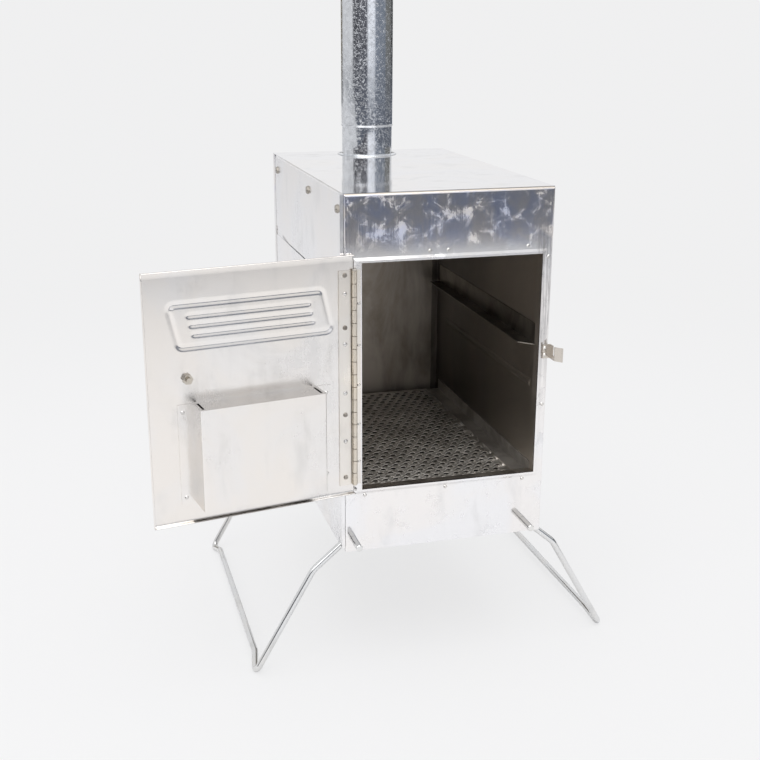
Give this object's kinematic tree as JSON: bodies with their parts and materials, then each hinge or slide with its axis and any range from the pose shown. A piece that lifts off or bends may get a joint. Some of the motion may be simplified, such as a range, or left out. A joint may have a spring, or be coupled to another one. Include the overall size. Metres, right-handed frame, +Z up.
{
  "type": "tent wood stove",
  "caption": "Portable sheet-steel wood stove for a tent, with a hinged fire door, a louvred grate, a flue and folding bent-rod legs.",
  "frame": {"origin": "on the ground, under the middle of the casing's length and width", "axes": "+Z up, +Y from the fire door to the back, +X to the right as seen from the fire door"},
  "size_m": [0.5764, 0.5047, 1.0031],
  "materials": {
    "case_steel": "bright rolled stainless sheet, heat-marked inside",
    "door_steel": "bright rolled stainless sheet with straw heat tint",
    "shield_steel": "bright rolled stainless sheet",
    "inner_steel": "heat-darkened stainless sheet",
    "grate_steel": "heat-darkened pressed sheet",
    "flue_steel": "spangled bright steel sheet",
    "hinge_steel": "plain rolled stainless",
    "bracket_steel": "plain bent stainless",
    "rivet_steel": "plain bright steel",
    "dark_screw": "blackened steel",
    "leg_rod": "drawn stainless rod"
  },
  "bodies": {
    "root": {"front_panel": "case_steel", "back_panel": "case_steel", "side_panel_left": "case_steel", "side_panel_right": "case_steel", "top_plate": "case_steel", "floor_pan": "inner_steel", "shield_upper": "shield_steel", "shield_lower": "shield_steel", "shield_spacers": "rivet_steel", "shield_screws": "dark_screw", "ledge_left": "inner_steel", "ledge_right": "inner_steel", "grate_rest_left": "inner_steel", "grate_rest_right": "inner_steel", "grate_rest_front": "inner_steel", "door_lintel": "inner_steel", "front_rivets": "rivet_steel", "flue_collar": "flue_steel", "hinge_fixed_leaf": "hinge_steel", "hinge_pin": "hinge_steel", "hinge_fixed_rivets": "rivet_steel", "catch_bracket": "bracket_steel", "catch_rivets": "rivet_steel"},
    "door": {"door_pan": "door_steel", "hinge_door_leaf": "hinge_steel", "hinge_door_rivets": "rivet_steel", "hinge_door_screws": "dark_screw", "air_baffle": "door_steel", "baffle_rivets": "rivet_steel", "damper_rails": "bracket_steel", "damper_rivets": "rivet_steel", "latch_bolt": "rivet_steel", "latch_washer": "rivet_steel", "latch_nut": "rivet_steel"},
    "latch": {"latch_lever": "bracket_steel"},
    "damper": {"air_slide": "bracket_steel", "slide_knob": "bracket_steel"},
    "flue": {"flue_pipe": "flue_steel"},
    "grate": {"grate": "grate_steel"},
    "left_leg": {"leg_left": "leg_rod"},
    "right_leg": {"leg_right": "leg_rod"}
  },
  "joints": [
    {"name": "door_swing", "type": "hinge", "parent": "root", "child": "door", "pos_m": [-0.1145, -0.2115, 0.37062], "axis": [0, 0, 1], "range_deg": [-8, 170.08]},
    {"name": "latch_turn", "type": "hinge", "parent": "door", "child": "latch", "pos_m": [-0.30697, -0.23998, 0.39732], "axis": [-0.1723, 0.985, 0], "range_deg": [-115, 115]},
    {"name": "damper_slide", "type": "slide", "parent": "door", "child": "damper", "axis": [0.985, 0.1723, 0], "range_m": [0, 0.017]},
    {"name": "flue_lift", "type": "slide", "parent": "root", "child": "flue", "axis": [0, 0, 1], "range_m": [0, 0.04]},
    {"name": "grate_lift", "type": "slide", "parent": "root", "child": "grate", "axis": [0, 0, 1], "range_m": [0, 0.02]},
    {"name": "left_leg_fold", "type": "hinge", "parent": "root", "child": "left_leg", "pos_m": [-0.115, 0, 0.17112], "axis": [0, -1, 0], "range_deg": [0, 120.8]},
    {"name": "right_leg_fold", "type": "hinge", "parent": "root", "child": "right_leg", "pos_m": [0.101, 0, 0.17112], "axis": [0, 1, 0], "range_deg": [0, 130.8]}
  ]
}
